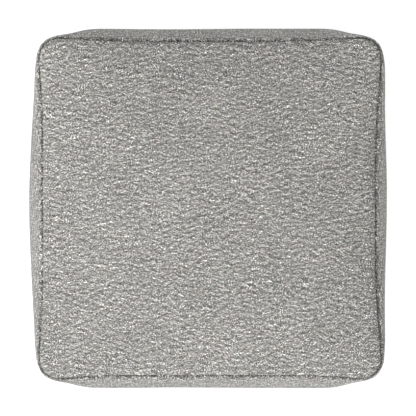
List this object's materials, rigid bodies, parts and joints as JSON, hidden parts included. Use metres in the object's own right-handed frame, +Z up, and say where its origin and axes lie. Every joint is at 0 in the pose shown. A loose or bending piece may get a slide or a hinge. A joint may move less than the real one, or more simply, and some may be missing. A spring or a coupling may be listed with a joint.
{
  "type": "cube pouf stool",
  "caption": "Cube-shaped filled pouf stool in a nubby, flecked light grey cloth, with a crowned top, puffed sides and plain sewn seams.",
  "frame": {"origin": "on the floor, in the middle of the pouf's bounding box seen from above", "axes": "+Z up; with the picture's view from above, +X is its right and +Y its top"},
  "size_m": [0.4453, 0.4504, 0.44],
  "materials": {
    "cloth": "matt, nubby weave in light warm grey, flecked with paler slubs"
  },
  "bodies": {
    "root": {"pouf_body": "cloth"}
  },
  "joints": []
}
